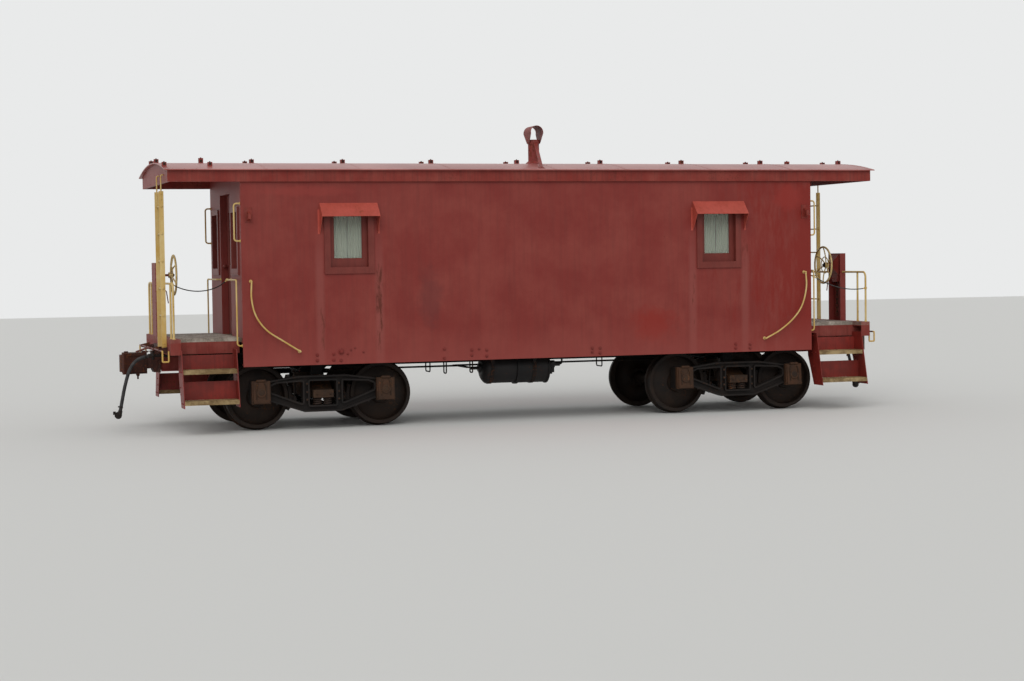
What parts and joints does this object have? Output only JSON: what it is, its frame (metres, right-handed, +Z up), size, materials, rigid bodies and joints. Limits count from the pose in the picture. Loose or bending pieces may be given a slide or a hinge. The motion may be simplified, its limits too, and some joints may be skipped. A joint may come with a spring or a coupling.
{
  "type": "caboose",
  "caption": "Railway caboose with a steel-sided cabin, arched roof, open end platforms with steps and ladders, on two four-wheel trucks.",
  "frame": {"origin": "on the ground under the middle of the car, at the lowest points of the wheel flanges", "axes": "+X along the car, +Y across it and +Z up"},
  "size_m": [11.3274, 2.78, 4.0998],
  "materials": {
    "body_red": "faded matte",
    "hood_red": "faded satin",
    "roof_red": "faded satin",
    "stack_red": "faded, rusted",
    "sash_red": "faded matte",
    "window_glass": "clear",
    "curtain_cloth": "matte",
    "floor_wood": "worn",
    "deck_wood": "weathered",
    "tread_edge": "worn",
    "rail_yellow": "faded satin",
    "underframe_paint": "grimy matte",
    "coupler_iron": "rusted",
    "tank_black": "grimy matte",
    "pipe_black": "grimy matte",
    "truck_paint": "grimy matte",
    "spring_steel": "grimy matte",
    "wheel_steel": "rusted",
    "axle_steel": "rusted",
    "hose_rubber": "matte",
    "safety_line_steel": "weathered"
  },
  "bodies": {
    "carbody": {"air_hose_east": "hose_rubber", "air_hose_west": "hose_rubber", "air_reservoir": "tank_black", "brake_chains": "coupler_iron", "brake_cylinder": "tank_black", "brake_posts": "body_red", "brake_rigging": "pipe_black", "brake_wheels": "rail_yellow", "cabin_floor": "floor_wood", "couplers": "coupler_iron", "curtains": "curtain_cloth", "door_hinges": "body_red", "end_castings": "coupler_iron", "end_railings": "rail_yellow", "end_walls": "body_red", "fascia": "body_red", "glad_hand_east": "coupler_iron", "glad_hand_west": "coupler_iron", "handrails": "rail_yellow", "knuckles": "coupler_iron", "ladders": "rail_yellow", "lamp_brackets": "body_red", "line_eyes": "rail_yellow", "platform_decks": "deck_wood", "platform_lamps": "tank_black", "roof": "roof_red", "roof_saddles": "roof_red", "safety_line_east": "safety_line_steel", "safety_line_west": "safety_line_steel", "side_walls": "body_red", "smoke_stack": "stack_red", "step_treads": "tread_edge", "steps": "body_red", "train_pipe": "pipe_black", "uncoupling_levers": "rail_yellow", "underframe": "underframe_paint", "window_frames": "sash_red", "window_glass": "window_glass", "window_hoods": "hood_red"},
    "truck_west": {"brake_gear_west": "truck_paint", "truck_bolster_west": "truck_paint", "truck_frames_west": "truck_paint", "truck_springs_west": "spring_steel"},
    "door_west": {"door_glass_west": "window_glass", "door_west": "body_red"},
    "truck_east": {"brake_gear_east": "truck_paint", "truck_bolster_east": "truck_paint", "truck_frames_east": "truck_paint", "truck_springs_east": "spring_steel"},
    "door_east": {"door_east": "body_red", "door_glass_east": "window_glass"},
    "wheelset_1": {"axle_1": "axle_steel", "wheels_1": "wheel_steel"},
    "wheelset_2": {"axle_2": "axle_steel", "wheels_2": "wheel_steel"},
    "wheelset_3": {"axle_3": "axle_steel", "wheels_3": "wheel_steel"},
    "wheelset_4": {"axle_4": "axle_steel", "wheels_4": "wheel_steel"}
  },
  "joints": [
    {"name": "truck_swivel_west", "type": "hinge", "parent": "carbody", "child": "truck_west", "pos_m": [-3, 0, 0.7], "axis": [0, 0, 1], "range_deg": [-5, 5]},
    {"name": "truck_swivel_east", "type": "hinge", "parent": "carbody", "child": "truck_east", "pos_m": [3, 0, 0.7], "axis": [0, 0, 1], "range_deg": [-5, 5]},
    {"name": "wheelset_1_spin", "type": "hinge", "parent": "truck_west", "child": "wheelset_1", "pos_m": [-3.838, 0, 0.444], "axis": [0, 1, 0], "continuous": true},
    {"name": "wheelset_2_spin", "type": "hinge", "parent": "truck_west", "child": "wheelset_2", "pos_m": [-2.162, 0, 0.444], "axis": [0, 1, 0], "continuous": true},
    {"name": "wheelset_3_spin", "type": "hinge", "parent": "truck_east", "child": "wheelset_3", "pos_m": [2.162, 0, 0.444], "axis": [0, 1, 0], "continuous": true},
    {"name": "wheelset_4_spin", "type": "hinge", "parent": "truck_east", "child": "wheelset_4", "pos_m": [3.838, 0, 0.444], "axis": [0, 1, 0], "continuous": true},
    {"name": "door_west_hinge", "type": "hinge", "parent": "carbody", "child": "door_west", "pos_m": [-3.938, -0.3825, 1.25], "axis": [0, 0, -1], "range_deg": [0, 100]},
    {"name": "door_east_hinge", "type": "hinge", "parent": "carbody", "child": "door_east", "pos_m": [3.938, 0.3825, 1.25], "axis": [0, 0, -1], "range_deg": [0, 100]}
  ]
}
